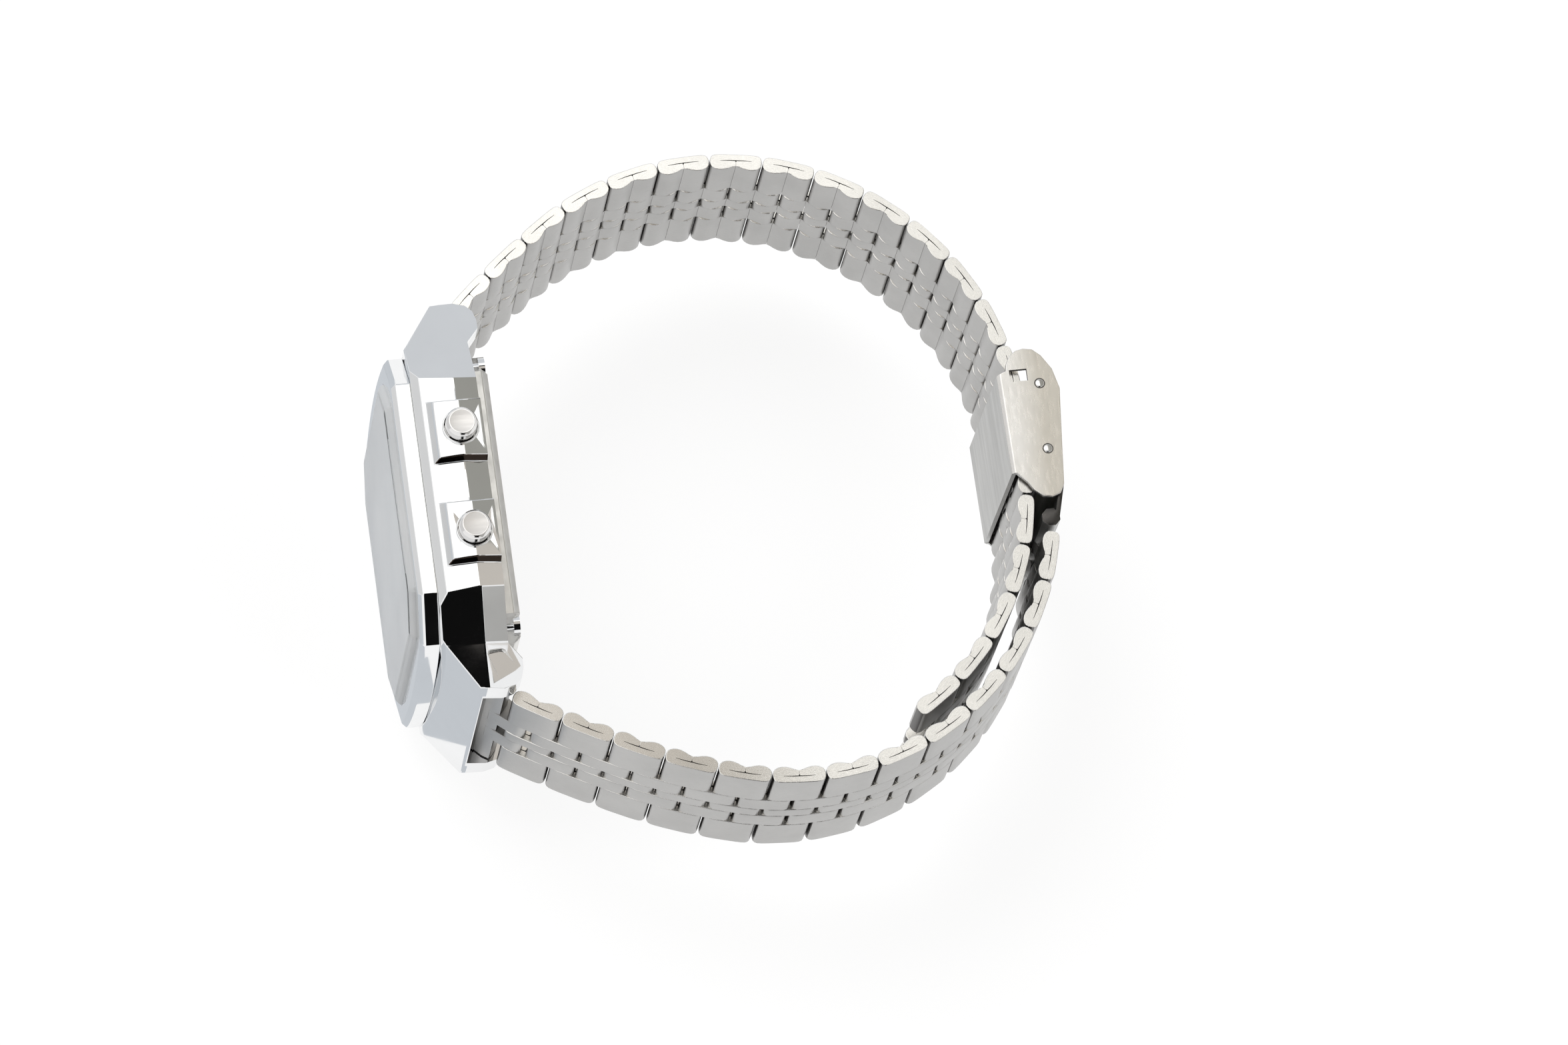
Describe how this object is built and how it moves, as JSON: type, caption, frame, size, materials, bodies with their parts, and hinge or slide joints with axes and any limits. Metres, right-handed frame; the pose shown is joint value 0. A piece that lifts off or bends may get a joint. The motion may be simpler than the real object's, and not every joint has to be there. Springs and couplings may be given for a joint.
{
  "type": "digital wristwatch",
  "caption": "Digital wristwatch with an octagonal steel case, push buttons at the sides and a folded-link steel bracelet closed by a folding clasp.",
  "frame": {"origin": "middle of the case back's outer plane", "axes": "-X out of the dial, +X towards the clasp, +Y towards 6 o'clock, +Z towards 9 o'clock; the watch lies on its 3 o'clock side"},
  "size_m": [0.0648, 0.0637, 0.0362],
  "materials": {
    "board_laminate": "varnished",
    "brass_disc": "plain",
    "chip_resin": "matte",
    "clear_glass": "clear, polished",
    "cover_steel": "coarse straight brushing",
    "dial_plastic": "satin",
    "frame_plastic": "matte",
    "lcd_glass": "satin polariser",
    "light_sheet": "matte",
    "polished_steel": "polished, crisp facets",
    "satin_steel": "fine satin brushing along the case",
    "seal_rubber": "matte",
    "spring_steel": "plain"
  },
  "bodies": {
    "case": {"case_body": "polished_steel", "bezel": "polished_steel", "crystal": "clear_glass", "back_cover": "cover_steel", "cover_screws": "polished_steel", "spring_bars": "spring_steel", "crystal_gasket": "seal_rubber", "dial_plate": "dial_plastic", "lcd_panel": "lcd_glass", "backlight_panel": "light_sheet", "contact_strips": "seal_rubber", "module_frame": "frame_plastic", "circuit_board": "board_laminate", "chip_cover": "chip_resin", "quartz_can": "spring_steel", "battery": "satin_steel", "battery_clip": "spring_steel", "battery_contact": "spring_steel", "buzzer_contact": "spring_steel", "piezo_buzzer": "brass_disc", "back_gasket": "seal_rubber", "light_spring": "spring_steel", "mode_spring": "spring_steel", "alarm_spring": "spring_steel"},
    "upper_end": {"upper_end_piece": "satin_steel"},
    "lower_end": {"lower_end_piece": "satin_steel"},
    "upper_1": {"upper_links_1": "satin_steel"},
    "upper_2": {"upper_links_2": "satin_steel"},
    "upper_3": {"upper_links_3": "satin_steel"},
    "upper_4": {"upper_links_4": "satin_steel"},
    "upper_5": {"upper_links_5": "satin_steel"},
    "upper_6": {"upper_links_6": "satin_steel"},
    "lower_1": {"lower_links_1": "satin_steel"},
    "lower_2": {"lower_links_2": "satin_steel"},
    "lower_3": {"lower_links_3": "satin_steel"},
    "lower_4": {"lower_links_4": "satin_steel"},
    "lower_5": {"lower_links_5": "satin_steel"},
    "lower_6": {"lower_links_6": "satin_steel"},
    "lower_7": {"lower_links_7": "satin_steel"},
    "cover": {"clasp_cover": "satin_steel", "cover_bar": "satin_steel"},
    "clasp": {"clasp_body": "satin_steel", "hinge_pin": "satin_steel", "catch_pin": "satin_steel", "clasp_links": "satin_steel"},
    "held": {"held_links": "satin_steel"},
    "tail_1": {"tail_links_1": "satin_steel"},
    "tail_2": {"tail_links_2": "satin_steel"},
    "tail_3": {"tail_links_3": "satin_steel"},
    "lock": {"lock_plate": "satin_steel"},
    "light": {"light_button": "polished_steel"},
    "mode": {"mode_button": "polished_steel"},
    "alarm": {"alarm_button": "polished_steel"}
  },
  "joints": [
    {"name": "upper_end_hinge", "type": "hinge", "parent": "case", "child": "upper_end", "pos_m": [-0.0024, 0.0174, 0], "axis": [0, 0, 1], "range_deg": [0, 30]},
    {"name": "upper_hinge_1", "type": "hinge", "parent": "upper_end", "child": "upper_1", "pos_m": [-0.00109, 0.02021, 0], "axis": [0, 0, 1], "range_deg": [0, 18]},
    {"name": "upper_hinge_2", "type": "hinge", "parent": "upper_1", "child": "upper_2", "pos_m": [0.00662, 0.02672, 0], "axis": [0, 0, 1], "range_deg": [0, 18]},
    {"name": "upper_hinge_3", "type": "hinge", "parent": "upper_2", "child": "upper_3", "pos_m": [0.01553, 0.03137, 0], "axis": [0, 0, 1], "range_deg": [0, 18]},
    {"name": "upper_hinge_4", "type": "hinge", "parent": "upper_3", "child": "upper_4", "pos_m": [0.02552, 0.0324, 0], "axis": [0, 0, 1], "range_deg": [-14, 18]},
    {"name": "upper_hinge_5", "type": "hinge", "parent": "upper_4", "child": "upper_5", "pos_m": [0.03518, 0.02967, 0], "axis": [0, 0, 1], "range_deg": [-16, 18]},
    {"name": "upper_hinge_6", "type": "hinge", "parent": "upper_5", "child": "upper_6", "pos_m": [0.04315, 0.02356, 0], "axis": [0, 0, 1], "range_deg": [-18, 18]},
    {"name": "lower_end_hinge", "type": "hinge", "parent": "case", "child": "lower_end", "pos_m": [-0.0024, -0.0174, 0], "axis": [0, 0, -1], "range_deg": [0, 30]},
    {"name": "lower_hinge_1", "type": "hinge", "parent": "lower_end", "child": "lower_1", "pos_m": [-0.00017, -0.01955, 0], "axis": [0, 0, -1], "range_deg": [0, 18]},
    {"name": "lower_hinge_2", "type": "hinge", "parent": "lower_1", "child": "lower_2", "pos_m": [0.00868, -0.02441, 0], "axis": [0, 0, -1], "range_deg": [0, 18]},
    {"name": "lower_hinge_3", "type": "hinge", "parent": "lower_2", "child": "lower_3", "pos_m": [0.01806, -0.02813, 0], "axis": [0, 0, -1], "range_deg": [0, 18]},
    {"name": "lower_hinge_4", "type": "hinge", "parent": "lower_3", "child": "lower_4", "pos_m": [0.02803, -0.02923, 0], "axis": [0, 0, -1], "range_deg": [0, 18]},
    {"name": "lower_hinge_5", "type": "hinge", "parent": "lower_4", "child": "lower_5", "pos_m": [0.03766, -0.02638, 0], "axis": [0, 0, -1], "range_deg": [0, 18]},
    {"name": "lower_hinge_6", "type": "hinge", "parent": "lower_5", "child": "lower_6", "pos_m": [0.04546, -0.02005, 0], "axis": [0, 0, -1], "range_deg": [0, 18]},
    {"name": "lower_hinge_7", "type": "hinge", "parent": "lower_6", "child": "lower_7", "pos_m": [0.0504, -0.01131, 0], "axis": [0, 0, -1], "range_deg": [0, 18]},
    {"name": "cover_hinge", "type": "hinge", "parent": "lower_7", "child": "cover", "pos_m": [0.05157, -0.0064, 0], "axis": [0, 0, -1], "range_deg": [0, 28]},
    {"name": "clasp_hinge", "type": "hinge", "parent": "cover", "child": "clasp", "pos_m": [0.0524, 0.0069, 0], "axis": [0, 0, -1], "range_deg": [0, 100]},
    {"name": "held_hinge", "type": "hinge", "parent": "clasp", "child": "held", "pos_m": [0.04958, 0.01005, 0], "axis": [0, 0, -1], "range_deg": [-14, 18]},
    {"name": "tail_hinge_1", "type": "hinge", "parent": "clasp", "child": "tail_1", "pos_m": [0.0493, -0.00503, 0], "axis": [0, 0, -1], "range_deg": [0, 24]},
    {"name": "tail_hinge_2", "type": "hinge", "parent": "tail_1", "child": "tail_2", "pos_m": [0.04593, -0.01449, 0], "axis": [0, 0, -1], "range_deg": [0, 24]},
    {"name": "tail_hinge_3", "type": "hinge", "parent": "tail_2", "child": "tail_3", "pos_m": [0.0393, -0.02204, 0], "axis": [0, 0, -1], "range_deg": [-5, 24]},
    {"name": "lock_hinge", "type": "hinge", "parent": "clasp", "child": "lock", "pos_m": [0.0522, 0.00028, 0], "axis": [0, 0, -1], "range_deg": [0, 12]},
    {"name": "light_press", "type": "slide", "parent": "case", "child": "light", "axis": [0, 0, -1], "range_m": [0, 0.0006], "stiffness_N_per_m": 600, "springref_m": -0.004, "deforming": ["light_spring"]},
    {"name": "mode_press", "type": "slide", "parent": "case", "child": "mode", "axis": [0, 0, -1], "range_m": [0, 0.0006], "stiffness_N_per_m": 600, "springref_m": -0.004, "deforming": ["mode_spring"]},
    {"name": "alarm_press", "type": "slide", "parent": "case", "child": "alarm", "axis": [0, 0, 1], "range_m": [0, 0.0006], "stiffness_N_per_m": 600, "springref_m": -0.004, "deforming": ["alarm_spring"]}
  ]
}
